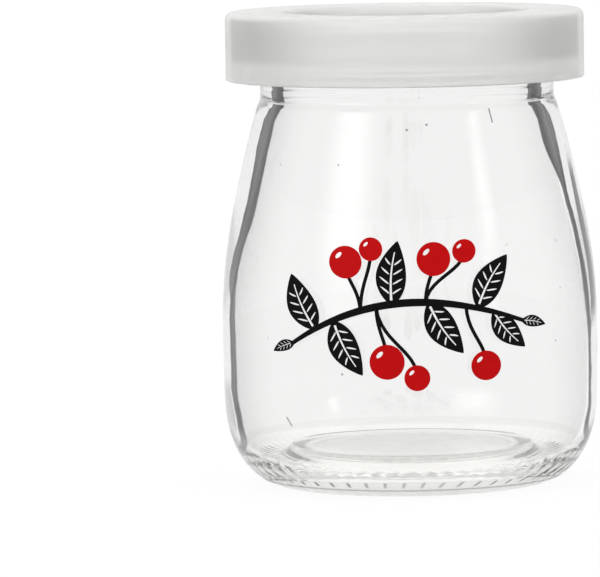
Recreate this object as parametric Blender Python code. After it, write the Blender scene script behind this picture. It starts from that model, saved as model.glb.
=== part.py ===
"""Glass pudding bottle with a soft push-on lid.

Two separate pieces, both turned about +Z: a clear glass bottle with a rim bead,
a short neck, a flared shoulder, a full belly and a pushed-up base, and a frosted
plastic lid with a hanging skirt and a recessed centre that plugs the mouth.
The origin is the centre of the foot, on the floor. Lengths are in metres.
"""
import math

import bpy

# Whole object
HEIGHT = 0.0745
TURN_STEPS = 60
GAP = 0.0003
MERGE_DISTANCE = 0.00002

# Lid
LID_RADIUS = 0.0282
LID_SKIRT_BOTTOM = 0.06375
LID_SKIRT_WALL = 0.0013
LID_TOP_THICKNESS = 0.0013
LID_TOP_ROUND = 0.0011
LID_EDGE_BEVEL = 0.0003
RECESS_RADIUS = 0.0192
RECESS_DEPTH = 0.0030
RECESS_EDGE_ROUND = 0.0005
PLUG_WALL = 0.0010
PLUG_CORNER_ROUND = 0.0006
CATCH_DEPTH = 0.0009
CATCH_Z = 0.0655
CATCH_HALF_HEIGHT = 0.0009

# Rim and neck of the bottle
RIM_TOP = HEIGHT - LID_TOP_THICKNESS - GAP
RIM_RADIUS = 0.0260
RIM_BEAD_HEIGHT = 0.0059
RIM_UPPER_ROUND = 0.0020
RIM_LOWER_ROUND = 0.0015
RIM_UNDERCUT_ROUND = 0.0014
MOUTH_RADIUS = RECESS_RADIUS + PLUG_WALL + GAP
MOUTH_ROUND = 0.0008
NECK_RADIUS = 0.0231
NECK_STEP_TOP = 0.0608
SHOULDER_TOP = 0.0598
SHOULDER_RADIUS = 0.0236
SHOULDER_SLOPE = 0.289

# Belly, heel and base of the bottle. The belly's radius is the one where the shoulder's
# curve meets the heel's. The shoulder's curve swells 0.1 mm past it, 9 mm higher up.
BELLY_RADIUS = 0.02945
BELLY_Z = 0.0150
SHOULDER_PULL = 0.0251
BELLY_PULL = 0.0117
HEEL_PULL = 0.0128
FOOT_OUTER_RADIUS = 0.0205
FOOT_INNER_RADIUS = 0.0189
FOOT_PULL = 0.0018
PUSH_UP_RADIUS = 0.0156
PUSH_UP_SIDE_Z = 0.0036
PUSH_UP_HEIGHT = 0.0039

# Glass thickness and the inside
SHOULDER_WALL = SHOULDER_RADIUS - MOUTH_RADIUS
BELLY_WALL = 0.0016
THIN_BELOW_Z = 0.024
THICK_ABOVE_Z = 0.048
FLOOR_RADIUS = 0.0187
FLOOR_Z = 0.0060
FLOOR_RISE = 0.0002
FLOOR_EDGE_PULL = 0.0005
TROUGH_RADIUS = 0.0218
TROUGH_DEPTH = 0.0023
TROUGH_PULL = 0.0019
INNER_HEEL_PULL_OUT = 0.0052
INNER_HEEL_PULL_DOWN = 0.0085

# Points along each kind of curve
SHOULDER_POINTS = 12
HEEL_POINTS = 9
INNER_HEEL_POINTS = 8
TROUGH_POINTS = 5
FLOOR_POINTS = 3
PUSH_UP_POINTS = 4
ROUND_POINTS = 4
SMALL_ROUND_POINTS = 3

# Colours, as linear red, green, blue and alpha, and finishes
GLASS_COLOUR = (0.90, 0.93, 0.91, 1.0)
GLASS_ROUGHNESS = 0.03
GLASS_TRANSMISSION = 1.0
LID_COLOUR = (0.80, 0.80, 0.78, 1.0)
LID_ROUGHNESS = 0.45
LID_TRANSMISSION = 0.4


def clear_scene():
    """Remove every object, so that the script starts from an empty scene."""
    for thing in list(bpy.data.objects):
        bpy.data.objects.remove(thing, do_unlink=True)


def arc(centre, radius, start_degrees, end_degrees, count):
    """Points on a circle in the radius and height plane, both ends included."""
    points = []
    for step in range(count):
        angle = math.radians(start_degrees + (end_degrees - start_degrees) * step / (count - 1))
        points.append((centre[0] + radius * math.cos(angle), centre[1] + radius * math.sin(angle)))
    return points


def bezier(start, pull_start, pull_end, end, count):
    """Points on a cubic curve, both ends included."""
    points = []
    for step in range(count):
        t = step / (count - 1)
        weights = ((1 - t) ** 3, 3 * (1 - t) ** 2 * t, 3 * (1 - t) * t ** 2, t ** 3)
        corners = (start, pull_start, pull_end, end)
        points.append(tuple(sum(w * c[axis] for w, c in zip(weights, corners)) for axis in (0, 1)))
    return points


def smooth_step(low, high, value):
    """Zero below low, one above high, with an even blend between."""
    t = min(max((value - low) / (high - low), 0.0), 1.0)
    return t * t * (3 - 2 * t)


def wall_at(height):
    """Glass thickness of the belly and shoulder, measured level."""
    return BELLY_WALL + (SHOULDER_WALL - BELLY_WALL) * smooth_step(THIN_BELOW_Z, THICK_ABOVE_Z, height)


def shoulder_curve():
    """Outer line from the neck's step down to the lower end of the belly."""
    return bezier(
        (SHOULDER_RADIUS, SHOULDER_TOP),
        (SHOULDER_RADIUS + SHOULDER_SLOPE * SHOULDER_PULL, SHOULDER_TOP - SHOULDER_PULL),
        (BELLY_RADIUS, BELLY_Z + BELLY_PULL),
        (BELLY_RADIUS, BELLY_Z),
        SHOULDER_POINTS,
    )


def inside_line():
    """From the middle of the raised inner floor, down into the trough round it and up to the mouth."""
    belly_inner = BELLY_RADIUS - BELLY_WALL
    trough_z = FLOOR_Z - TROUGH_DEPTH
    floor = bezier(
        (0.0, FLOOR_Z + FLOOR_RISE),
        (FLOOR_RADIUS / 3, FLOOR_Z + FLOOR_RISE),
        (FLOOR_RADIUS * 2 / 3, FLOOR_Z),
        (FLOOR_RADIUS, FLOOR_Z),
        FLOOR_POINTS,
    )
    trough = bezier(
        (FLOOR_RADIUS, FLOOR_Z),
        (FLOOR_RADIUS + FLOOR_EDGE_PULL, FLOOR_Z),
        (TROUGH_RADIUS - TROUGH_PULL, trough_z),
        (TROUGH_RADIUS, trough_z),
        TROUGH_POINTS,
    )
    inner_heel = bezier(
        (TROUGH_RADIUS, trough_z),
        (TROUGH_RADIUS + INNER_HEEL_PULL_OUT, trough_z),
        (belly_inner, BELLY_Z - INNER_HEEL_PULL_DOWN),
        (belly_inner, BELLY_Z),
        INNER_HEEL_POINTS,
    )
    wall = [(radius - wall_at(height), height) for radius, height in reversed(shoulder_curve())]
    mouth = arc((MOUTH_RADIUS + MOUTH_ROUND, RIM_TOP - MOUTH_ROUND), MOUTH_ROUND, 180, 90, ROUND_POINTS)
    return floor + trough[1:] + inner_heel[1:] + wall[1:] + mouth


def rim_line():
    """From the top of the rim bead down its outer side to the neck."""
    bead_bottom = RIM_TOP - RIM_BEAD_HEIGHT
    upper = arc(
        (RIM_RADIUS - RIM_UPPER_ROUND, RIM_TOP - RIM_UPPER_ROUND),
        RIM_UPPER_ROUND, 90, 0, ROUND_POINTS)
    lower = arc(
        (RIM_RADIUS - RIM_LOWER_ROUND, bead_bottom + RIM_LOWER_ROUND),
        RIM_LOWER_ROUND, 0, -90, ROUND_POINTS)
    undercut = arc(
        (NECK_RADIUS + RIM_UNDERCUT_ROUND, bead_bottom - RIM_UNDERCUT_ROUND),
        RIM_UNDERCUT_ROUND, 90, 180, SMALL_ROUND_POINTS)
    return upper + lower[:-1] + undercut


def outside_line():
    """From the neck down over the shoulder, belly, heel and foot to the middle of the base."""
    neck = [(NECK_RADIUS, NECK_STEP_TOP)]
    heel = bezier(
        (BELLY_RADIUS, BELLY_Z),
        (BELLY_RADIUS, BELLY_Z - HEEL_PULL),
        (FOOT_OUTER_RADIUS + FOOT_PULL, 0.0),
        (FOOT_OUTER_RADIUS, 0.0),
        HEEL_POINTS,
    )
    push_up = bezier(
        (FOOT_INNER_RADIUS, 0.0),
        (FOOT_INNER_RADIUS - FOOT_PULL, 0.0),
        (PUSH_UP_RADIUS + FOOT_PULL, PUSH_UP_SIDE_Z),
        (PUSH_UP_RADIUS, PUSH_UP_SIDE_Z),
        PUSH_UP_POINTS,
    )
    return neck + shoulder_curve() + heel[1:] + push_up + [(0.0, PUSH_UP_HEIGHT)]


def lid_line():
    """From the middle of the recess out over the top, down the skirt and back under."""
    underside = HEIGHT - LID_TOP_THICKNESS
    plug_radius = RECESS_RADIUS + PLUG_WALL
    plug_bottom = HEIGHT - RECESS_DEPTH - LID_TOP_THICKNESS
    skirt_inner = LID_RADIUS - LID_SKIRT_WALL
    recess = [(0.0, HEIGHT - RECESS_DEPTH)]
    recess += arc(
        (RECESS_RADIUS - RECESS_EDGE_ROUND, HEIGHT - RECESS_DEPTH + RECESS_EDGE_ROUND),
        RECESS_EDGE_ROUND, -90, 0, SMALL_ROUND_POINTS)
    recess += arc(
        (RECESS_RADIUS + RECESS_EDGE_ROUND, HEIGHT - RECESS_EDGE_ROUND),
        RECESS_EDGE_ROUND, 180, 90, SMALL_ROUND_POINTS)
    skirt = arc(
        (LID_RADIUS - LID_TOP_ROUND, HEIGHT - LID_TOP_ROUND), LID_TOP_ROUND, 90, 0, ROUND_POINTS)
    skirt += [
        (LID_RADIUS, LID_SKIRT_BOTTOM + LID_EDGE_BEVEL),
        (LID_RADIUS - LID_EDGE_BEVEL, LID_SKIRT_BOTTOM),
        (skirt_inner, LID_SKIRT_BOTTOM),
    ]
    catch = [
        (skirt_inner, CATCH_Z - CATCH_HALF_HEIGHT),
        (skirt_inner - CATCH_DEPTH, CATCH_Z),
        (skirt_inner, CATCH_Z + CATCH_HALF_HEIGHT),
    ]
    under = [(skirt_inner, underside), (plug_radius, underside)]
    plug = arc(
        (plug_radius - PLUG_CORNER_ROUND, plug_bottom + PLUG_CORNER_ROUND),
        PLUG_CORNER_ROUND, 0, -90, SMALL_ROUND_POINTS)
    return recess + skirt + catch + under + plug + [(0.0, plug_bottom)]


def make_material(name, colour, roughness, transmission):
    """A Principled material of one colour."""
    material = bpy.data.materials.new(name)
    material.use_nodes = True
    shader = material.node_tree.nodes["Principled BSDF"]
    shader.inputs["Base Color"].default_value = colour
    shader.inputs["Roughness"].default_value = roughness
    shader.inputs["Metallic"].default_value = 0.0
    shader.inputs["Transmission Weight"].default_value = transmission
    return material


def turn(name, line, material):
    """Turn a line about +Z into one closed solid, shaded smooth."""
    mesh = bpy.data.meshes.new(name)
    vertices = [(radius, 0.0, height) for radius, height in line]
    edges = [(index, index + 1) for index in range(len(line) - 1)]
    mesh.from_pydata(vertices, edges, [])
    mesh.materials.append(material)
    piece = bpy.data.objects.new(name, mesh)
    bpy.context.scene.collection.objects.link(piece)
    screw = piece.modifiers.new("Turn", "SCREW")
    screw.axis = "Z"
    screw.steps = TURN_STEPS
    screw.render_steps = TURN_STEPS
    screw.use_merge_vertices = True
    screw.merge_threshold = MERGE_DISTANCE
    screw.use_smooth_shade = True
    return piece


def make_bottle():
    """The glass, inside and outside in one line over the rim."""
    material = make_material("clear_glass", GLASS_COLOUR, GLASS_ROUGHNESS, GLASS_TRANSMISSION)
    return turn("bottle", inside_line() + rim_line() + outside_line(), material)


def make_lid():
    """The frosted push-on lid."""
    material = make_material("frosted_plastic", LID_COLOUR, LID_ROUGHNESS, LID_TRANSMISSION)
    return turn("lid", lid_line(), material)


def main():
    """Build the bottle and its lid."""
    clear_scene()
    make_bottle()
    make_lid()


main()
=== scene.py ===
"""Clear glass pudding bottle with a frosted push-on lid and a printed sprig of berries.

The glass, the lid and the print are turned or drawn as by hand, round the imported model.
"""
import math

import bpy
from bpy.props import FloatProperty, FloatVectorProperty, IntProperty, PointerProperty
from mathutils import Matrix, Vector


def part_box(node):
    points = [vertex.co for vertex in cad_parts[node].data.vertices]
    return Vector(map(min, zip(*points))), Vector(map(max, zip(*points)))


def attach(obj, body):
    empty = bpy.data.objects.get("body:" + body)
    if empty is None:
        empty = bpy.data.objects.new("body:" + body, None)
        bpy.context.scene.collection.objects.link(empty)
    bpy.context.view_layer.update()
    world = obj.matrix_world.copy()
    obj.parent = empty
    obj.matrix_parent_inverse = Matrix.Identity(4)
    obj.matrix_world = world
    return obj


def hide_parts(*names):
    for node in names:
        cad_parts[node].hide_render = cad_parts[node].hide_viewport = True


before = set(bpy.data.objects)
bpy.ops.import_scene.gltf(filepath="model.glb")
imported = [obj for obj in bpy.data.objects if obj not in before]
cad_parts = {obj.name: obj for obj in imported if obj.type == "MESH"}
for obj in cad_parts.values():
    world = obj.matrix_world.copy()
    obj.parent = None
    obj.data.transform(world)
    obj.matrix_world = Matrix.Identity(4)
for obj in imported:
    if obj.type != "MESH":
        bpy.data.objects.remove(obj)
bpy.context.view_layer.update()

bl_info = {
    "name": "Pudding bottle",
    "version": (1, 0, 0),
    "blender": (4, 5, 0),
    "location": "3D View > Sidebar > Pudding bottle",
    "description": "Builds a glass pudding bottle with a frosted lid and a printed sprig",
    "category": "Add Mesh",
}

MM = 0.001
BODY = "root"
PHOTO_WIDTH = 600
PHOTO_HEIGHT = 577
AXIS_COLUMN = 409
AIM_ROW = 246.2
BOTTLE_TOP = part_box("bottle")[1]
LID_LOW, LID_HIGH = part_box("lid")

# Places on the glass and the lid that a user has no need to change, in millimetres
NECK_STEP_TOP = 60.8
SHOULDER_TOP = 59.8
SHOULDER_SLOPE = 0.289
SHOULDER_PULL = 25.1
BELLY_Z = 15.0
BELLY_PULL = 11.7
HEEL_PULL = 12.8
FOOT_PULL = 1.8
FLOOR_RADIUS = 18.7
FLOOR_RISE = 0.2
TROUGH_RADIUS = 21.8
TROUGH_DEPTH = 2.3
EDGE_PULL = 0.5
TROUGH_PULL = 1.9
INNER_HEEL_OUT = 3.5
INNER_HEEL_DOWN = 7.5
PUSH_UP_RADIUS = 15.6
PUSH_UP_ROUND = 0.3
THIN_BELOW = 24.0
THICK_ABOVE = 48.0
PARTING_LINE = 62.6
PARTING_RIDGE = 0.05
RIB_ROOT = (19.4, 20.8)
RIB_FULL = (23.0, 24.2)
RIB_END = (25.2, 26.3)
RIB_TOP = 5.0
CATCH_Z = 65.5
CATCH_DEPTH = 0.9


class GlassSizes(bpy.types.PropertyGroup):
    """Sizes and colour of the glass."""
    rim_radius: FloatProperty(
        name="Rim radius", description="Outer radius of the bead round the mouth",
        default=0.0260, unit="LENGTH")
    rim_height: FloatProperty(
        name="Rim height", description="Height of the bead round the mouth",
        default=0.0059, unit="LENGTH")
    mouth_radius: FloatProperty(
        name="Mouth radius", description="Inner radius of the mouth and neck",
        default=0.0205, unit="LENGTH")
    neck_radius: FloatProperty(
        name="Neck radius", description="Outer radius of the neck",
        default=0.0231, unit="LENGTH")
    shoulder_radius: FloatProperty(
        name="Shoulder radius", description="Outer radius just below the neck's moulding step",
        default=0.0236, unit="LENGTH")
    belly_radius: FloatProperty(
        name="Belly radius", description="Outer radius where the belly meets the heel",
        default=0.02945, unit="LENGTH")
    belly_wall: FloatProperty(
        name="Belly wall", description="Glass thickness at the belly",
        default=0.0016, unit="LENGTH")
    foot_outer: FloatProperty(
        name="Foot outer radius", description="Outer edge of the ring that the bottle stands on",
        default=0.0205, unit="LENGTH")
    foot_inner: FloatProperty(
        name="Foot inner radius", description="Inner edge of the ring that the bottle stands on",
        default=0.0189, unit="LENGTH")
    push_up: FloatProperty(
        name="Push-up", description="Height of the hollow under the base",
        default=0.0039, unit="LENGTH")
    floor_height: FloatProperty(
        name="Floor height", description="Height of the inner floor at its edge",
        default=0.0060, unit="LENGTH")
    turns: IntProperty(
        name="Steps", description="Steps round the bottle", default=480, min=60)
    ribs: IntProperty(
        name="Ribs", description="Short ribs round the heel", default=60, min=12)
    rib_depth: FloatProperty(
        name="Rib depth", description="Depth of the grooves between the ribs",
        default=0.00008, unit="LENGTH")
    tint: FloatVectorProperty(
        name="Tint", description="Colour of the glass", subtype="COLOR", size=3,
        min=0.0, max=1.0, default=(0.935, 0.935, 0.932))


class LidSizes(bpy.types.PropertyGroup):
    """Sizes and colour of the lid."""
    wall: FloatProperty(
        name="Skirt wall", description="Thickness of the hanging skirt",
        default=0.0013, unit="LENGTH")
    top: FloatProperty(
        name="Top thickness", description="Thickness of the lid's top",
        default=0.0013, unit="LENGTH")
    recess_radius: FloatProperty(
        name="Recess radius", description="Radius of the sunk centre",
        default=0.0192, unit="LENGTH")
    recess_depth: FloatProperty(
        name="Recess depth", description="Depth of the sunk centre",
        default=0.0030, unit="LENGTH")
    plug_wall: FloatProperty(
        name="Plug wall", description="Thickness of the ring that enters the mouth",
        default=0.0010, unit="LENGTH")
    lean: FloatProperty(
        name="Offset", description="How far the lid sits to one side in its play on the rim",
        default=-0.00025, unit="LENGTH")
    turns: IntProperty(
        name="Steps", description="Steps round the lid", default=288, min=60)
    colour: FloatVectorProperty(
        name="Colour", description="Colour of the frosted plastic", subtype="COLOR", size=3,
        min=0.0, max=1.0, default=(0.97, 0.97, 0.958))


class PrintSizes(bpy.types.PropertyGroup):
    """Sizes and colours of the printed sprig."""
    centre_height: FloatProperty(
        name="Centre height", description="Height of the middle of the print",
        default=0.0287, unit="LENGTH")
    leaf_length: FloatProperty(
        name="Leaf length", description="Length of the largest leaf",
        default=0.0105, unit="LENGTH")
    leaf_width: FloatProperty(
        name="Leaf width", description="Width of the largest leaf",
        default=0.0050, unit="LENGTH")
    stem_width: FloatProperty(
        name="Stem width", description="Width of the stem",
        default=0.0010, unit="LENGTH")
    ink_depth: FloatProperty(
        name="Ink depth", description="Thickness of the ink", default=0.00003, unit="LENGTH")
    black: FloatVectorProperty(
        name="Black ink", description="Colour of the black ink", subtype="COLOR", size=3,
        min=0.0, max=1.0, default=(0.004, 0.004, 0.004))
    red: FloatVectorProperty(
        name="Red ink", description="Colour of the red ink", subtype="COLOR", size=3,
        min=0.0, max=1.0, default=(0.46, 0.003, 0.004))


class StageSizes(bpy.types.PropertyGroup):
    """Camera, floor and light."""
    camera_distance: FloatProperty(
        name="Camera distance", description="Level distance from the bottle's axis",
        default=1.0, unit="LENGTH")
    camera_height: FloatProperty(
        name="Camera height", description="Height of the camera over the floor",
        default=0.119, unit="LENGTH")
    aim_height: FloatProperty(
        name="Aim height", description="Height on the axis that the camera looks at",
        default=0.0372, unit="LENGTH")
    roll: FloatProperty(
        name="Roll", description="Turn of the camera about its own line of sight",
        default=math.radians(0.8), subtype="ANGLE")
    pixels_per_metre: FloatProperty(
        name="Pixels per metre", description="Scale of the picture at the bottle's axis",
        default=6343.0)
    floor_radius: FloatProperty(
        name="Floor radius", description="Radius of the pale floor", default=6.0, unit="LENGTH")
    floor_colour: FloatVectorProperty(
        name="Floor colour", description="Colour of the pale floor", subtype="COLOR", size=3,
        min=0.0, max=1.0, default=(0.05, 0.05, 0.05))


# Shader maths

class Wire:
    """One output socket, with arithmetic that adds Math nodes."""

    def __init__(self, bench, socket):
        self.bench = bench
        self.socket = socket

    def __add__(self, other):
        return self.bench.maths("ADD", self, other)

    __radd__ = __add__

    def __mul__(self, other):
        return self.bench.maths("MULTIPLY", self, other)

    __rmul__ = __mul__

    def __sub__(self, other):
        return self.bench.maths("SUBTRACT", self, other)

    def __rsub__(self, other):
        return self.bench.maths("SUBTRACT", other, self)

    def __abs__(self):
        return self.bench.maths("ABSOLUTE", self)


class Bench:
    """A node tree under construction."""

    def __init__(self, tree):
        self.tree = tree
        tree.nodes.clear()

    def node(self, kind, settings=None, inputs=None, output=0):
        """Adds a node, sets it, feeds its inputs and returns one of its outputs."""
        made = self.tree.nodes.new(kind)
        for name, value in (settings or {}).items():
            setattr(made, name, value)
        for name, value in (inputs or {}).items():
            if isinstance(value, Wire):
                self.tree.links.new(value.socket, made.inputs[name])
            else:
                made.inputs[name].default_value = value
        return Wire(self, made.outputs[output]) if made.outputs else made

    def maths(self, operation, left, right=0.0):
        """A Math node on one or two values."""
        return self.node("ShaderNodeMath", {"operation": operation}, {0: left, 1: right})

    def blend(self, factor, first, second):
        """Mixes two colours."""
        return self.node("ShaderNodeMix", {"data_type": "RGBA"}, {0: factor, 6: first, 7: second}, 2)

    def rise(self, value, low, high):
        """Zero at low and one at high, with soft ends."""
        return self.node(
            "ShaderNodeMapRange", {"interpolation_type": "SMOOTHSTEP"},
            {"Value": value, "From Min": low, "From Max": high})

    def between(self, value, low, high, soft):
        """One between low and high, falling to zero over the soft width outside them."""
        return self.rise(value, low - soft, low) * (1 - self.rise(value, high, high + soft))

    def noise(self, place, scale, detail=2.0):
        """Noise at a place, with scale in blobs per metre."""
        return self.node(
            "ShaderNodeTexNoise", None,
            {"Vector": place, "Scale": scale, "Detail": detail, "Roughness": 0.55})

    def place(self):
        """Object coordinates."""
        return self.node("ShaderNodeTexCoord", None, None, "Object")

    def parts(self, vector):
        """X, Y and Z of a vector."""
        split = self.node("ShaderNodeSeparateXYZ", None, {0: vector})
        return [Wire(self, socket) for socket in split.socket.node.outputs]


def colour4(colour):
    """A colour with full alpha."""
    return (*colour, 1.0)


def new_material(name):
    """An empty material and its bench."""
    material = bpy.data.materials.new(name)
    material.use_nodes = True
    return material, Bench(material.node_tree)


# How bright the even light is all round, and the floor's own glow that makes it look the same
WORLD_LEVEL = 1.03
FLOOR_GLOW = 0.942
GLASS_INDEX = 1.52
PLASTIC_INDEX = 1.50
# Lighter tint on the glass round the base: painted light that brightens it
PAINTED_LIGHT_BASE_TINT = (1.0, 0.997, 0.982, 1.0)
# Colour of the dark layer that carries the painted shade in the glass
PAINTED_SHADE_COLOUR = (0.03, 0.032, 0.030, 1.0)
GLASS_DEPTH_COLOUR = (0.74, 0.80, 0.74, 1.0)
TILT_SHARE = 0.65
SEEDS_PER_METRE = 150.0
# Scratches on the front of the glass: distance to the right, bottom, top (mm) and lean
SCRATCHES = ((12.6, 57.9, 59.9, 0.25), (-19.2, 11.5, 12.7, 0.6))


def painted_side_bands(bench, place, behind):
    """Painted dark bands near both sides, where the eye meets the inner wall at a low angle; they stand
    in for darker surroundings seen through the glass.
    """
    across, _, height = bench.parts(place)
    facing = bench.node("ShaderNodeLayerWeight", None, {"Blend": 0.5}, "Facing")

    # Parts of the wall
    right = bench.rise(across, -0.004, 0.004)
    left = 1 - right
    high = bench.rise(height, 0.034 + 0.012 * right, 0.044 + 0.010 * right)
    shoulder = bench.rise(height, 0.044, 0.056)
    middle_left = left * bench.between(height, 0.033, 0.036, 0.004)
    middle_right = right * bench.between(height, 0.029, 0.047, 0.005)
    low_right = right * (1 - bench.rise(height, 0.020, 0.031)) * bench.rise(height, 0.008, 0.013)
    low_left = left * bench.between(height, 0.011, 0.015, 0.003)
    low = 1 - bench.rise(height, 0.010, 0.016)
    heel = 1 - bench.rise(height, 0.0075, 0.0105)
    neck_gap = bench.between(height, 0.0599, 0.0604, 0.0003)

    # The angle of view that an upright wall would have at the same place
    tilt = bench.parts(bench.node("ShaderNodeNewGeometry", None, None, "Normal"))[2]
    upright = bench.maths("SQRT", 1 - TILT_SHARE * tilt * tilt)
    level = 1 - bench.maths("DIVIDE", 1 - facing, upright)

    # The main painted band starts and stops at two angles, and a thin painted dark line runs along its
    # outer edge
    streak = bench.noise(place, 260.0) - 0.5
    shift = left * (0.0120 * low + 0.0110 * heel)
    start = 0.2400 - (0.0195 + 0.0100 * right) * high + 0.0125 * low_right - shift + 0.006 * streak
    stop = 0.2580 + 0.012 * shoulder + 0.0060 * low_right - shift + 0.010 * streak
    stop = stop + 0.008 * middle_left - 0.0025 * right
    band = bench.rise(level - start, -0.004, 0.001)
    band = band * (1 - bench.rise(level - stop, -0.004, 0.002))
    edge_line = band * bench.rise(level - stop, -0.012, -0.004)
    beyond = bench.rise(level - stop, 0.0, 0.004) * (0.13 + 0.30 * low_left)

    # A second painted dark band on the right leans outwards as it climbs
    lean = facing - (0.2725 + 1.75 * (height - 0.0304))
    second = middle_right * bench.between(lean, -0.006, 0.007, 0.004)

    drawn_place = bench.node("ShaderNodeCombineXYZ", None, {0: 0.9 * facing, 1: 0.15 * height})
    drawn = bench.noise(drawn_place, 140.0) - 0.5
    depth = 0.89 + 0.07 * right * (1 - high) + 0.45 * drawn - 0.25 * heel
    # Painted shade on the near inner wall, and a fainter painted darkening where the far inner wall turns
    # away
    near = (depth * band + 0.08 * edge_line + beyond + 0.92 * second) * behind
    far = (0.30 - 0.09 * right) * bench.rise(facing, 0.30, 0.95) * (1 - behind)
    return far + (1 - 0.85 * neck_gap) * near


def rib_shade_and_flaws(bench, place, ribs):
    """Painted shade on one side of each rib and a painted dark line round the foot, with seeds and
    scratches in the glass.
    """
    across, along, height = bench.parts(place)
    angle = bench.maths("ARCTAN2", along, across)
    slant = height * (900 + 120000 * across)
    rib_side = bench.rise(bench.maths("SINE", ribs * angle - slant), 0.78, 0.98)
    beside = bench.rise(abs(across), 0.003, 0.018)
    rib_top = 0.0025 - 0.0003 * beside + 0.0018 * bench.rise(across, 0.016, 0.024)
    rib_zone = bench.between(height, 0.0019, rib_top, 0.0003)
    # Painted shade on one side of each short rib, darker towards the sides
    marks = (0.45 + 0.45 * beside) * rib_side * rib_zone
    # A painted dark line round the foot
    marks = marks + 0.40 * bench.between(height, 0.0012, 0.0013, 0.0002)
    seed = bench.node(
        "ShaderNodeTexVoronoi", None, {"Vector": place, "Scale": SEEDS_PER_METRE}, "Distance")
    above_base = bench.rise(height, 0.006, 0.008)
    marks = marks + 0.60 * (1 - bench.rise(seed, 0.015, 0.045)) * above_base
    in_front = 1 - bench.rise(along, -0.010, -0.005)
    for start, bottom, top, lean in SCRATCHES:
        offset = abs(across - start * MM - lean * (top * MM - height))
        length = bench.between(height, bottom * MM, top * MM, 0.0002)
        scratch = (1 - bench.rise(offset, 0.00005, 0.00015)) * length
        marks = marks + 0.7 * scratch * in_front
    return marks


def painted_floor_rings(bench, place, radius):
    """Painted shade: faint dark rings at the far edge of the inner floor and where the far heel starts.
    """
    _, along, height = bench.parts(place)
    floor_level = bench.between(height, 0.0056, 0.0065, 0.0003)
    far_side = bench.rise(along, 0.004, 0.012)
    floor_edge = floor_level * bench.between(radius, 0.0178, 0.0188, 0.0004) * far_side
    heel_start = bench.between(height, 0.0064, 0.0070, 0.0006)
    heel_start = heel_start * (1 - bench.rise(radius, 0.0266, 0.0272))
    return 0.45 * floor_edge + 0.08 * heel_start


def make_glass(name, tint, ribs):
    """Clear glass with painted dark side bands, painted shade on the ribs, round the foot and round the
    floor, seeds and scratches, a clearer, lighter tint painted round the base and a stippled underside.
    """
    material, bench = new_material(name)
    place = bench.place()
    across, along, height = bench.parts(place)
    radius = bench.maths("SQRT", across * across + along * along)
    inside = bench.node("ShaderNodeAttribute", {"attribute_name": "inside"}, None, "Fac")
    behind = bench.node("ShaderNodeNewGeometry", None, None, "Backfacing")
    marks = rib_shade_and_flaws(bench, place, ribs) + painted_floor_rings(bench, place, radius)
    # Share of painted shade mixed into the glass: the side bands, rib and foot shade and floor rings,
    # along with the seeds and scratches
    edge = inside * painted_side_bands(bench, place, behind) + marks * (1 - behind)

    # Painted light: below the heel the glass takes the lighter tint, brightening the base
    wall = bench.rise(height, 0.0062, 0.0078)
    shade = bench.blend(wall, PAINTED_LIGHT_BASE_TINT, colour4(tint))
    underside = (1 - bench.rise(radius, 0.0184, 0.0190)) * (1 - bench.rise(height, 0.0042, 0.0050))
    smudge = bench.rise(bench.noise(place, 160.0, 3.0), 0.55, 0.75)
    wave = bench.noise(place, 90.0, 1.0)
    bump = bench.node("ShaderNodeBump", None, {"Strength": 0.03, "Distance": 0.0005, "Height": wave})
    clear = bench.node(
        "ShaderNodeBsdfPrincipled", None,
        {"Base Color": shade, "Roughness": 0.012 * smudge + 0.28 * underside,
         "IOR": GLASS_INDEX, "Transmission Weight": 1.0, "Normal": bump})
    # A dark matt layer that the painted shade mixes in
    dark = bench.node(
        "ShaderNodeBsdfPrincipled", None,
        {"Base Color": PAINTED_SHADE_COLOUR, "Roughness": 0.25, "IOR": GLASS_INDEX,
         "Specular IOR Level": 0.0})
    shader = bench.node("ShaderNodeMixShader", None, {0: edge, 1: clear, 2: dark})
    volume = bench.node(
        "ShaderNodeVolumeAbsorption", None, {"Color": GLASS_DEPTH_COLOUR, "Density": 5.0})
    bench.node("ShaderNodeOutputMaterial", None, {"Surface": shader, "Volume": volume})
    return material


def make_frosted(name, colour):
    """Milky soft plastic with a fine frosted face. Painted shade greys the skirt towards its sides, most
    on its upper part where the glass bead is behind it.
    """
    material, bench = new_material(name)
    place = bench.place()
    height = bench.parts(place)[2]
    grain = bench.noise(place, 2600.0, 2.0)
    flow = bench.noise(place, 140.0, 3.0)
    facing = bench.node("ShaderNodeLayerWeight", None, {"Blend": 0.5}, "Facing")
    turned = bench.rise(facing, 0.05, 0.50) * (1 - 0.9 * bench.rise(facing, 0.70, 0.80))
    beside_bead = 0.40 + 0.60 * bench.rise(height, 0.0664, 0.0680)
    below_top = 1 - bench.rise(height, 0.0735, 0.0742)
    shade = bench.blend(bench.rise(flow, 0.3, 0.7), colour4(colour), colour4([c * 0.985 for c in colour]))
    # Painted shade: darker towards the sides of the skirt, strongest over the bead and none on the top
    shade = bench.blend(turned * beside_bead * below_top, shade, colour4([c * 0.68 for c in colour]))
    bump = bench.node(
        "ShaderNodeBump", None, {"Strength": 0.25, "Distance": 0.00006, "Height": grain})
    shader = bench.node(
        "ShaderNodeBsdfPrincipled", None,
        {"Base Color": shade, "Roughness": 0.40 + 0.08 * flow, "IOR": PLASTIC_INDEX,
         "Transmission Weight": 0.62, "Normal": bump})
    bench.node("ShaderNodeOutputMaterial", None, {"Surface": shader})
    return material


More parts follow.
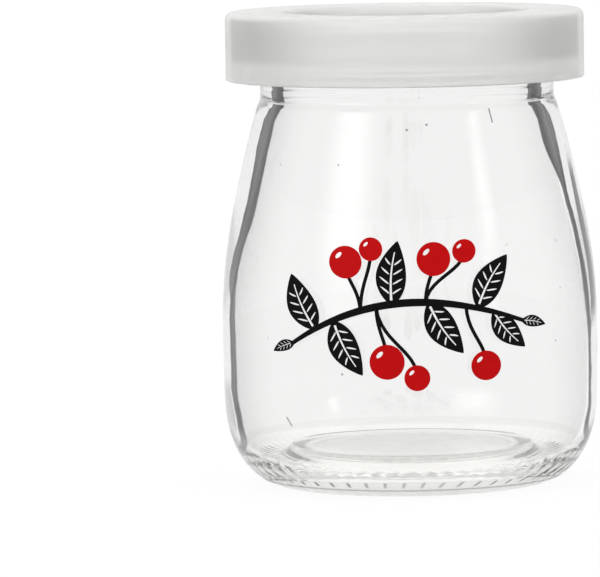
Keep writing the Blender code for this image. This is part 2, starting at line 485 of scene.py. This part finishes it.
def make_ink(name, colour):
    """Glossy screen-printed ink, with a faint unevenness."""
    material, bench = new_material(name)
    place = bench.place()
    patch = bench.noise(place, 900.0, 3.0)
    shade = bench.blend(patch, colour4(colour), colour4([c * 0.8 for c in colour]))
    bump = bench.node(
        "ShaderNodeBump", None, {"Strength": 0.15, "Distance": 0.00003, "Height": patch})
    shader = bench.node(
        "ShaderNodeBsdfPrincipled", None,
        {"Base Color": shade, "Roughness": 0.30 + 0.1 * patch, "IOR": PLASTIC_INDEX,
         "Specular IOR Level": 0.04, "Normal": bump})
    bench.node("ShaderNodeOutputMaterial", None, {"Surface": shader})
    return material


def make_floor(name, colour):
    """Matt pale floor."""
    material, bench = new_material(name)
    shader = bench.node(
        "ShaderNodeBsdfPrincipled", None,
        {"Base Color": colour4(colour), "Roughness": 0.9, "Emission Color": (1, 1, 1, 1),
         "Emission Strength": FLOOR_GLOW, "Specular IOR Level": 0.0})
    bench.node("ShaderNodeOutputMaterial", None, {"Surface": shader})
    return material


# Lines in the radius and height plane, in millimetres

def arc(centre, radius, start, end, count):
    """Points on a circle from one angle to another, in degrees."""
    points = []
    for step in range(count):
        angle = math.radians(start + (end - start) * step / (count - 1))
        points.append((centre[0] + radius * math.cos(angle), centre[1] + radius * math.sin(angle)))
    return points


def bezier(start, pull_start, pull_end, end, count):
    """Points on a cubic curve, both ends included."""
    points = []
    for step in range(count):
        t = step / (count - 1)
        weights = ((1 - t) ** 3, 3 * (1 - t) ** 2 * t, 3 * (1 - t) * t ** 2, t ** 3)
        corners = (start, pull_start, pull_end, end)
        points.append(tuple(sum(w * c[axis] for w, c in zip(weights, corners)) for axis in (0, 1)))
    return points


def straight(start, end, count):
    """Points on a straight line, both ends included."""
    return [tuple(a + (b - a) * step / (count - 1) for a, b in zip(start, end)) for step in range(count)]


def smooth_step(low, high, value):
    """Zero below low, one above high, with an even blend between."""
    t = min(max((value - low) / (high - low), 0.0), 1.0)
    return t * t * (3 - 2 * t)


def shoulder_curve(sizes):
    """Outer line from the neck's step down to the lower end of the belly."""
    shoulder = sizes.shoulder_radius / MM
    belly = sizes.belly_radius / MM
    return bezier(
        (shoulder, SHOULDER_TOP),
        (shoulder + SHOULDER_SLOPE * SHOULDER_PULL, SHOULDER_TOP - SHOULDER_PULL),
        (belly, BELLY_Z + BELLY_PULL),
        (belly, BELLY_Z),
        30,
    )


def glass_line(sizes):
    """From the middle of the inner floor, up inside, over the rim, down outside and under."""
    rim_top = BOTTLE_TOP[2] / MM
    rim = sizes.rim_radius / MM
    mouth = sizes.mouth_radius / MM
    neck = sizes.neck_radius / MM
    shoulder = sizes.shoulder_radius / MM
    belly = sizes.belly_radius / MM
    thin = sizes.belly_wall / MM
    thick = shoulder - mouth
    floor = sizes.floor_height / MM
    foot_outer = sizes.foot_outer / MM
    foot_inner = sizes.foot_inner / MM
    bead_bottom = rim_top - sizes.rim_height / MM

    line = bezier(
        (0.0, floor + FLOOR_RISE), (FLOOR_RADIUS / 3, floor + FLOOR_RISE),
        (FLOOR_RADIUS * 2 / 3, floor), (FLOOR_RADIUS, floor), 10)
    trough = floor - TROUGH_DEPTH
    line += bezier(
        (FLOOR_RADIUS, floor), (FLOOR_RADIUS + EDGE_PULL, floor),
        (TROUGH_RADIUS - TROUGH_PULL, trough), (TROUGH_RADIUS, trough), 12)[1:]
    line += bezier(
        (TROUGH_RADIUS, trough), (TROUGH_RADIUS + INNER_HEEL_OUT, trough),
        (belly - thin, BELLY_Z - INNER_HEEL_DOWN), (belly - thin, BELLY_Z), 20)[1:]
    for radius, height in reversed(shoulder_curve(sizes)):
        wall = thin + (thick - thin) * smooth_step(THIN_BELOW, THICK_ABOVE, height)
        line.append((radius - wall, height))
    line += straight((mouth, SHOULDER_TOP + 1.0), (mouth, rim_top - 1.2), 6)
    line += arc((mouth + 0.8, rim_top - 0.8), 0.8, 180, 90, 7)
    line += arc((rim - 2.0, rim_top - 2.0), 2.0, 90, 0, 10)
    line += arc((rim - 1.5, bead_bottom + 1.5), 1.5, 0, -90, 8)
    line += arc((neck + 1.4, bead_bottom - 1.4), 1.4, 90, 180, 7)[1:]
    line += [(neck, PARTING_LINE + 0.6), (neck + 0.01, PARTING_LINE + 0.15)]
    line += [(neck + PARTING_RIDGE, PARTING_LINE), (neck + 0.01, PARTING_LINE - 0.15)]
    line += [(neck, PARTING_LINE - 0.6), (neck, NECK_STEP_TOP + 0.25), (neck + 0.06, NECK_STEP_TOP)]
    line += [(shoulder - 0.18, SHOULDER_TOP + 0.35), (shoulder - 0.03, SHOULDER_TOP + 0.12)]
    line += shoulder_curve(sizes)
    line += bezier(
        (belly, BELLY_Z), (belly, BELLY_Z - HEEL_PULL),
        (foot_outer + FOOT_PULL, 0.0), (foot_outer, 0.0), 34)[1:]
    line += straight((foot_outer, 0.0), (foot_inner, 0.0), 8)[1:]
    punt = sizes.push_up / MM
    side = punt - PUSH_UP_ROUND
    line += bezier(
        (foot_inner, 0.0), (foot_inner - FOOT_PULL, 0.0),
        (PUSH_UP_RADIUS + FOOT_PULL, side), (PUSH_UP_RADIUS, side), 12)[1:]
    line += bezier(
        (PUSH_UP_RADIUS, side), (PUSH_UP_RADIUS * 2 / 3, side),
        (PUSH_UP_RADIUS / 3, punt), (0.0, punt), 8)[1:]
    return tidy_line(line)


def lid_line(sizes):
    """From the middle of the recess, out over the top, down the skirt and back under."""
    top = LID_HIGH[2] / MM
    low = LID_LOW[2] / MM
    radius = LID_HIGH[0] / MM
    under = top - sizes.top / MM
    recess = sizes.recess_radius / MM
    recess_floor = top - sizes.recess_depth / MM
    plug = recess + sizes.plug_wall / MM
    plug_low = recess_floor - sizes.top / MM
    inner = radius - sizes.wall / MM
    line = straight((0.0, recess_floor), (recess - 0.6, recess_floor), 8)
    line += arc((recess - 0.5, recess_floor + 0.5), 0.5, -90, 0, 5)
    line += arc((recess + 0.5, top - 0.5), 0.5, 180, 90, 7)
    line += straight((recess + 0.8, top), (radius - 1.4, top), 5)
    line += arc((radius - 1.1, top - 1.1), 1.1, 90, 0, 9)
    line += straight((radius, top - 1.4), (radius, low + 0.5), 8)
    line += arc((radius - 0.3, low + 0.3), 0.3, 0, -90, 4)
    line += arc((inner + 0.25, low + 0.25), 0.25, -90, -180, 4)
    catch = inner - CATCH_DEPTH
    line += bezier(
        (inner, CATCH_Z - 0.9), (inner - 0.2, CATCH_Z - 0.5),
        (catch, CATCH_Z - 0.4), (catch, CATCH_Z), 5)
    line += bezier(
        (catch, CATCH_Z), (catch, CATCH_Z + 0.4),
        (inner - 0.2, CATCH_Z + 0.5), (inner, CATCH_Z + 0.9), 5)[1:]
    line += straight((inner, CATCH_Z + 1.5), (inner, under - 0.4), 4)
    line += arc((inner - 0.3, under - 0.3), 0.3, 0, 90, 4)
    line += straight((inner - 0.6, under), (plug + 0.2, under), 4)
    line += straight((plug, under - 0.2), (plug, plug_low + 0.9), 4)
    line += arc((plug - 0.6, plug_low + 0.6), 0.6, 0, -90, 5)
    line += straight((plug - 1.0, plug_low), (0.0, plug_low), 8)
    return tidy_line(line)


def tidy_line(line):
    """The same line without repeated points."""
    kept = [line[0]]
    for point in line[1:]:
        if math.dist(point, kept[-1]) > 0.004:
            kept.append(point)
    return kept


# Making pieces

def edit(piece):
    """Selects one piece alone and opens it for editing, with nothing in it selected."""
    bpy.ops.object.select_all(action="DESELECT")
    piece.select_set(True)
    bpy.context.view_layer.objects.active = piece
    bpy.ops.object.mode_set(mode="EDIT")
    bpy.ops.mesh.select_mode(type="VERT")
    bpy.ops.mesh.select_all(action="DESELECT")


def leave_edit():
    """Back to object mode."""
    bpy.ops.object.mode_set(mode="OBJECT")


def newest(name):
    """Names the object that an operator has just added."""
    piece = bpy.context.view_layer.objects.active
    piece.name = name
    piece.data.name = name
    return piece


def turn_piece(name, line, steps):
    """Draws a line by extruding a point, spins it about Z and closes it."""
    bpy.ops.object.select_all(action="DESELECT")
    bpy.ops.mesh.primitive_plane_add(size=MM)
    piece = newest(name)
    edit(piece)
    bpy.ops.mesh.select_all(action="SELECT")
    bpy.ops.mesh.merge(type="CENTER")
    points = [Vector((radius * MM, 0.0, height * MM)) for radius, height in line]
    bpy.ops.mesh.select_all(action="SELECT")
    bpy.ops.transform.translate(value=points[0])
    for start, end in zip(points, points[1:]):
        bpy.ops.mesh.extrude_region_move(TRANSFORM_OT_translate={"value": end - start})
    bpy.ops.mesh.select_all(action="SELECT")
    bpy.ops.mesh.spin(steps=steps, angle=2 * math.pi, center=(0, 0, 0), axis=(0, 0, 1))
    bpy.ops.mesh.select_all(action="SELECT")
    bpy.ops.mesh.remove_doubles(threshold=0.0000008)
    bpy.ops.mesh.normals_make_consistent(inside=False)
    leave_edit()
    return piece


def smooth(piece, degrees):
    """Smooth shading, with edges sharper than an angle kept."""
    bpy.ops.object.select_all(action="DESELECT")
    piece.select_set(True)
    bpy.context.view_layer.objects.active = piece
    bpy.ops.object.shade_smooth_by_angle(angle=math.radians(degrees))


def apply_modifiers(piece):
    """Applies every modifier, in order."""
    bpy.ops.object.select_all(action="DESELECT")
    piece.select_set(True)
    bpy.context.view_layer.objects.active = piece
    for modifier in list(piece.modifiers):
        bpy.ops.object.modifier_apply(modifier=modifier.name)


def apply_place(piece):
    """Moves a piece's place, turn and scale into its mesh."""
    bpy.ops.object.select_all(action="DESELECT")
    piece.select_set(True)
    bpy.context.view_layer.objects.active = piece
    bpy.ops.object.transform_apply(location=True, rotation=True, scale=True)


def join(pieces, name):
    """Joins pieces into one mesh."""
    bpy.ops.object.select_all(action="DESELECT")
    for piece in pieces:
        piece.select_set(True)
    bpy.context.view_layer.objects.active = pieces[0]
    if len(pieces) > 1:
        bpy.ops.object.join()
    return newest(name)


def cut_ribs(piece, sizes):
    """Sinks short grooves into the heel, so that ribs stand between them."""
    group = piece.vertex_groups.new(name="grooves")
    for vertex in piece.data.vertices:
        radius = math.hypot(vertex.co.x, vertex.co.y) / MM
        if not (RIB_ROOT[0] < radius < RIB_END[1] and vertex.co.z < RIB_TOP * MM):
            continue
        fade = smooth_step(*RIB_ROOT, radius) * (1 - smooth_step(*RIB_END, radius))
        fade *= 0.25 + 0.75 * smooth_step(*RIB_FULL, radius)
        turn = math.atan2(vertex.co.y, vertex.co.x) / (2 * math.pi) * sizes.ribs
        hollow = 0.5 - 0.5 * math.cos(2 * math.pi * turn)
        group.add([vertex.index], fade * hollow ** 1.5, "REPLACE")
    groove = piece.modifiers.new("grooves", "DISPLACE")
    groove.vertex_group = group.name
    groove.mid_level = 0.0
    groove.strength = -sizes.rib_depth
    apply_modifiers(piece)
    piece.vertex_groups.clear()


def mark_inside(piece):
    """Marks the upright walls of the hollow with 1, fading to 0 where they turn into the floor."""
    mesh = piece.data
    marks = mesh.attributes.new("inside", "FLOAT", "POINT")
    for vertex in mesh.vertices:
        place, normal = vertex.co, vertex.normal
        inward = -(normal.x * place.x + normal.y * place.y) / max(math.hypot(place.x, place.y), MM)
        in_hollow = 3 * MM < place.z < BOTTLE_TOP[2] - MM
        marks.data[vertex.index].value = smooth_step(0.45, 0.85, inward) if in_hollow else 0.0


class PUDDING_OT_bottle(bpy.types.Operator):
    """Turn the clear glass bottle, with its ribs and its push-up"""
    bl_idname = "pudding.bottle"
    bl_label = "Bottle"

    def execute(self, context):
        sizes = context.scene.pudding_glass
        piece = turn_piece("glass_bottle", glass_line(sizes), sizes.turns)
        cut_ribs(piece, sizes)
        smooth(piece, 50)
        mark_inside(piece)
        piece.data.materials.append(make_glass("clear_glass", sizes.tint, sizes.ribs))
        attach(piece, BODY)
        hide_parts("bottle")
        return {"FINISHED"}


class PUDDING_OT_lid(bpy.types.Operator):
    """Turn the frosted push-on lid"""
    bl_idname = "pudding.lid"
    bl_label = "Lid"

    def execute(self, context):
        sizes = context.scene.pudding_lid
        piece = turn_piece("frosted_lid", lid_line(sizes), sizes.turns)
        edit(piece)
        bpy.ops.mesh.select_all(action="SELECT")
        bpy.ops.transform.translate(value=(sizes.lean, 0, 0))
        leave_edit()
        smooth(piece, 50)
        piece.data.materials.append(make_frosted("frosted_plastic", sizes.colour))
        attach(piece, BODY)
        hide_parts("lid")
        return {"FINISHED"}


# The printed sprig, drawn flat in front of the bottle and then laid on the glass

PRINT_Y = -40 * MM
GRID_PITCH = 0.8 * MM


def leaf_middle(u):
    """Height of a leaf's midrib at a share of its length."""
    return 0.05 * math.sin(math.pi * u)


def leaf_half_width(u):
    """Half the width of a leaf of unit length and unit width."""
    return 0.5 * math.sin(math.pi * u ** 0.8) ** 0.85 if 0 < u < 1 else 0.0


def ribbon(points, widths):
    """Closed outline round a line of points, with a width at each."""
    left, right = [], []
    for index, (x, y) in enumerate(points):
        x0, y0 = points[max(index - 1, 0)]
        x1, y1 = points[min(index + 1, len(points) - 1)]
        length = math.hypot(x1 - x0, y1 - y0)
        across = (-(y1 - y0) / length * widths[index] / 2, (x1 - x0) / length * widths[index] / 2)
        left.append((x + across[0], y + across[1]))
        right.append((x - across[0], y - across[1]))
    return left + right[::-1]


def leaf_outlines(width):
    """Outline of a leaf of unit length, and of the clear slits of its veins."""
    steps = [index / 40 for index in range(41)]
    upper = [(u, leaf_middle(u) + width * leaf_half_width(u)) for u in steps]
    lower = [(u, leaf_middle(u) - width * leaf_half_width(u)) for u in steps]
    outlines = [upper + lower[-2:0:-1]]
    rib = [0.07 + 0.75 * index / 12 for index in range(13)]
    outlines.append(ribbon([(u, leaf_middle(u)) for u in rib], [0.040 - 0.028 * u for u in rib]))
    for side in (1, -1):
        for start in (0.15, 0.30, 0.45, 0.60):
            vein = []
            for step in range(7):
                v = 0.14 + 0.62 * step / 6
                u = start + 0.16 * v
                vein.append((u, leaf_middle(u) + side * v * width * leaf_half_width(u)))
            outlines.append(ribbon(vein, [0.008, 0.022, 0.026, 0.026, 0.024, 0.018, 0.006]))
    return outlines


def circle(centre, radius, steps=32, squash=1.0, turn=0.0):
    """Closed outline of a circle or a turned oval."""
    points = []
    for step in range(steps):
        angle = 2 * math.pi * step / steps
        x, y = radius * math.cos(angle), radius * squash * math.sin(angle)
        points.append((
            centre[0] + x * math.cos(turn) - y * math.sin(turn),
            centre[1] + x * math.sin(turn) + y * math.cos(turn)))
    return points


def berry_outlines():
    """Outline of a berry of unit radius, with a clear glint."""
    return [circle((0, 0), 1.0), circle((-0.42, 0.42), 0.24, 16, 0.5, math.radians(45))]


def flat_shape(name, outlines, unit):
    """Fills flat outlines, with the inner ones as holes, and stands them up to face the front."""
    bpy.ops.object.select_all(action="DESELECT")
    bpy.ops.curve.primitive_bezier_circle_add(radius=MM)
    piece = newest(name)
    curve = piece.data
    curve.splines.clear()
    for outline in outlines:
        spline = curve.splines.new("POLY")
        spline.points.add(len(outline) - 1)
        for point, (x, y) in zip(spline.points, outline):
            point.co = (x * unit, y * unit, 0.0, 1.0)
        spline.use_cyclic_u = True
    curve.dimensions = "2D"
    curve.fill_mode = "BOTH"
    bpy.ops.object.convert(target="MESH")
    piece = newest(name)
    piece.rotation_euler = (math.pi / 2, 0, 0)
    apply_place(piece)
    return piece


def place_copy(pattern, x, z, degrees, scale, flip=False):
    """A copy of a flat piece, turned and put at its place in front of the bottle, in millimetres."""
    bpy.ops.object.select_all(action="DESELECT")
    pattern.select_set(True)
    bpy.context.view_layer.objects.active = pattern
    bpy.ops.object.duplicate(linked=False)
    copy = bpy.context.view_layer.objects.active
    copy.scale = (scale, 1.0, -scale if flip else scale)
    copy.rotation_euler = (0, -math.radians(degrees), 0)
    copy.location = (x * MM, PRINT_Y, z * MM)
    apply_place(copy)
    return copy


def delete(piece):
    """Removes a pattern that has been copied."""
    bpy.data.objects.remove(piece, do_unlink=True)


def lay_on_glass(piece, glass, lift, depth):
    """Cuts a flat piece into a fine grid, drops it on the glass and gives it the ink's depth."""
    edit(piece)
    bpy.ops.mesh.select_all(action="SELECT")
    bpy.ops.mesh.remove_doubles(threshold=0.000002)
    places = [vertex.co.copy() for vertex in piece.data.vertices]
    for axis, normal in ((0, (1, 0, 0)), (2, (0, 0, 1))):
        low = min(place[axis] for place in places)
        high = max(place[axis] for place in places)
        for step in range(1, int((high - low) / GRID_PITCH) + 1):
            cut = Vector((0, 0, 0))
            cut[axis] = low + step * GRID_PITCH
            bpy.ops.mesh.select_all(action="SELECT")
            bpy.ops.mesh.bisect(plane_co=cut, plane_no=normal)
    leave_edit()
    wrap = piece.modifiers.new("drop", "SHRINKWRAP")
    wrap.target = glass
    wrap.wrap_method = "PROJECT"
    wrap.use_project_x = False
    wrap.use_project_y = True
    wrap.use_project_z = False
    wrap.use_positive_direction = True
    wrap.use_negative_direction = False
    wrap.offset = lift
    solid = piece.modifiers.new("ink", "SOLIDIFY")
    solid.thickness = depth
    solid.offset = 1.0
    apply_modifiers(piece)
    smooth(piece, 40)


# Leaves: x and z of the foot, angle, length and whether flipped. Millimetres, from the print's centre.
LEAVES = (
    (-14.6, -2.1, 113, 9.2, False), (-11.8, -0.7, -62, 9.4, True), (-2.8, 1.9, 84, 9.8, False),
    (2.8, 2.2, -56, 9.6, True), (10.4, 1.1, 60, 9.2, False), (12.8, 0.5, -50, 7.6, True),
    (17.2, -1.2, -14, 3.8, False), (-17.9, -4.2, 205, 3.6, True),
)
# Stalks of berries: foot, berry centre and berry radius
BERRIES = (
    (-7.6, 1.0, -9.8, 8.4, 2.5), (-7.6, 1.0, -5.9, 10.4, 1.8), (-5.2, 1.6, -3.6, -6.9, 2.7),
    (-5.2, 1.6, 1.0, -9.4, 2.0), (2.4, 2.2, 3.7, 8.8, 2.6), (2.4, 2.2, 8.4, 9.9, 1.8),
    (8.6, 1.5, 11.6, -7.8, 2.3),
)
STEM = ((-18.4, -4.5), (-9.0, 2.7), (3.0, 4.7), (17.6, -1.3))


class PUDDING_OT_print(bpy.types.Operator):
    """Lay the printed sprig of leaves and berries on the glass"""
    bl_idname = "pudding.print"
    bl_label = "Print"

    def execute(self, context):
        sizes = context.scene.pudding_print
        glass = bpy.data.objects["glass_bottle"]
        height = sizes.centre_height / MM
        leaf = flat_shape("leaf_pattern", leaf_outlines(sizes.leaf_width / sizes.leaf_length), MM)
        leaves = [place_copy(leaf, x, height + z, turn, length, flip)
                  for x, z, turn, length, flip in LEAVES]
        delete(leaf)
        stems = self.draw_stems(sizes, height)
        berry = flat_shape("berry_pattern", berry_outlines(), MM)
        berries = [place_copy(berry, x, height + z, 0, radius) for _, _, x, z, radius in BERRIES]
        delete(berry)
        black = join(leaves, "print_leaves")
        twigs = join(stems, "print_stems")
        red = join(berries, "print_berries")
        black_ink = make_ink("black_ink", sizes.black)
        red_ink = make_ink("red_ink", sizes.red)
        for piece, ink, lift in ((black, black_ink, 1.0), (twigs, black_ink, 2.0), (red, red_ink, 3.2)):
            lay_on_glass(piece, glass, lift * sizes.ink_depth, sizes.ink_depth)
            piece.data.materials.clear()
            piece.data.materials.append(ink)
            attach(piece, BODY)
        return {"FINISHED"}

    def draw_stems(self, sizes, height):
        """The long stem and the stalks of the berries."""
        width = sizes.stem_width / MM
        main = bezier(*STEM, 40)
        shapes = [ribbon(main, [width * (0.6 + 0.6 * math.sin(math.pi * i / 39)) for i in range(40)])]
        for foot_x, foot_z, x, z, _ in BERRIES:
            line = bezier(
                (foot_x, foot_z), (foot_x + 0.1 * (x - foot_x), foot_z + 0.5 * (z - foot_z)),
                (x, z - 0.4 * (z - foot_z)), (x, z), 12)
            shapes.append(ribbon(line, [width * 0.55] * 12))
        pieces = []
        for outline in shapes:
            pattern = flat_shape("stem_pattern", [outline], MM)
            pieces.append(place_copy(pattern, 0, height, 0, 1))
            delete(pattern)
        return pieces


LIGHT_BOUNCES = 28
GLOSS_BOUNCES = 20
# Soft boxes: name, azimuth from the camera, elevation, distance, size and radiance
SOFT_BOXES = (("key_box", -30, 50, 1.2, (0.6, 0.6), 1.0), ("fill_box", 60, 40, 1.2, (0.5, 0.5), 0.5))
# Soft panels: azimuth from the camera, half width, lowest and highest height as sines, added light
PANELS = ((-44, 0.22, 0.14, 0.56, 1.6), (55, 0.062, 0.18, 0.48, 1.9))


class PUDDING_OT_stage(bpy.types.Operator):
    """Set up the pale floor, the soft light and the camera"""
    bl_idname = "pudding.stage"
    bl_label = "Stage"

    def execute(self, context):
        sizes = context.scene.pudding_stage
        self.add_floor(sizes)
        self.add_world()
        for box in SOFT_BOXES:
            self.soft_box(*box)
        self.add_camera(sizes)
        context.scene.view_settings.view_transform = "Standard"
        context.scene.cycles.max_bounces = LIGHT_BOUNCES
        context.scene.cycles.glossy_bounces = GLOSS_BOUNCES
        context.scene.cycles.transmission_bounces = LIGHT_BOUNCES
        return {"FINISHED"}

    def add_floor(self, sizes):
        bpy.ops.object.select_all(action="DESELECT")
        bpy.ops.mesh.primitive_circle_add(vertices=96, radius=sizes.floor_radius, fill_type="NGON")
        floor = newest("floor")
        edit(floor)
        bpy.ops.mesh.select_all(action="SELECT")
        bpy.ops.transform.translate(value=(0, 0, -0.00002))
        leave_edit()
        floor.data.materials.append(make_floor("pale_floor", sizes.floor_colour))

    def add_world(self):
        """Even white light all round, with two soft tall panels that show in the gloss of the glass."""
        world = bpy.data.worlds.new("soft_studio")
        bpy.context.scene.world = world
        world.use_nodes = True
        bench = Bench(world.node_tree)
        across, along, up = bench.parts(bench.place())
        light = WORLD_LEVEL + 0.60 * bench.rise(up, 0.45, 1.0)
        for azimuth, half_width, low, high, gain in PANELS:
            turn = math.radians(azimuth)
            sideways = across * math.cos(turn) + along * math.sin(turn)
            ahead = across * math.sin(turn) - along * math.cos(turn)
            panel = 1 - bench.rise(abs(sideways), half_width * 0.2, half_width * 1.8)
            panel = panel * bench.rise(ahead, 0.3, 0.5)
            panel = panel * bench.rise(up, low - 0.08, low + 0.08)
            panel = panel * (1 - bench.rise(up, high - 0.2, high + 0.1))
            light = light + gain * panel
        shader = bench.node("ShaderNodeBackground", None, {"Color": (1, 1, 1, 1), "Strength": light})
        bench.node("ShaderNodeOutputWorld", None, {"Surface": shader})

    def soft_box(self, name, azimuth, elevation, distance, size, radiance):
        """A wide soft light that models the matt lid and stays out of the reflections."""
        turn = math.radians(azimuth)
        lift = math.radians(elevation)
        middle = Vector((0, 0, 0.04))
        way = Vector((math.sin(turn) * math.cos(lift), -math.cos(turn) * math.cos(lift), math.sin(lift)))
        bpy.ops.object.light_add(type="AREA", location=middle + way * distance)
        light = bpy.context.view_layer.objects.active
        light.name = name
        light.data.shape = "RECTANGLE"
        light.data.size, light.data.size_y = size
        light.data.energy = radiance * size[0] * size[1] * math.pi
        light.rotation_euler = (-way).to_track_quat("-Z", "Y").to_euler()
        light.visible_glossy = False
        light.visible_transmission = False

    def add_camera(self, sizes):
        aim = Vector((0, 0, sizes.aim_height))
        place = Vector((0, -sizes.camera_distance, sizes.camera_height))
        bpy.ops.object.camera_add(location=place)
        camera = bpy.context.view_layer.objects.active
        camera.name = "photo_camera"
        look = (aim - place).to_track_quat("-Z", "Y").to_matrix()
        camera.rotation_euler = (look @ Matrix.Rotation(-sizes.roll, 3, "Z")).to_euler()
        camera.data.sensor_width = 36.0
        camera.data.lens = 36.0 * sizes.pixels_per_metre * (aim - place).length / PHOTO_WIDTH
        camera.data.clip_start = 0.01
        camera.data.shift_x = (PHOTO_WIDTH / 2 - AXIS_COLUMN) / PHOTO_WIDTH
        camera.data.shift_y = (AIM_ROW - PHOTO_HEIGHT / 2) / PHOTO_WIDTH
        bpy.context.scene.camera = camera


class PUDDING_PT_panel(bpy.types.Panel):
    """Buttons and sizes in the sidebar"""
    bl_idname = "PUDDING_PT_panel"
    bl_label = "Pudding bottle"
    bl_space_type = "VIEW_3D"
    bl_region_type = "UI"
    bl_category = "Pudding bottle"

    def draw(self, context):
        layout = self.layout
        for operator, group in PIECES:
            layout.operator(operator)
            sizes = getattr(context.scene, group)
            for name in sizes.bl_rna.properties.keys():
                if name not in ("rna_type", "name"):
                    layout.prop(sizes, name)


PIECES = (
    ("pudding.bottle", "pudding_glass"),
    ("pudding.lid", "pudding_lid"),
    ("pudding.print", "pudding_print"),
    ("pudding.stage", "pudding_stage"),
)
GROUPS = {
    "pudding_glass": GlassSizes,
    "pudding_lid": LidSizes,
    "pudding_print": PrintSizes,
    "pudding_stage": StageSizes,
}
CLASSES = (
    *GROUPS.values(),
    PUDDING_OT_bottle,
    PUDDING_OT_lid,
    PUDDING_OT_print,
    PUDDING_OT_stage,
    PUDDING_PT_panel,
)


def register():
    for made in CLASSES:
        bpy.utils.register_class(made)
    for name, group in GROUPS.items():
        setattr(bpy.types.Scene, name, PointerProperty(type=group))


def unregister():
    for name in GROUPS:
        delattr(bpy.types.Scene, name)
    for made in reversed(CLASSES):
        bpy.utils.unregister_class(made)


def main():
    """Builds every piece and the stage."""
    register()
    bpy.ops.pudding.bottle()
    bpy.ops.pudding.lid()
    bpy.ops.pudding.print()
    bpy.ops.pudding.stage()
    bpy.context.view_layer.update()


if __name__ == "__main__":
    main()
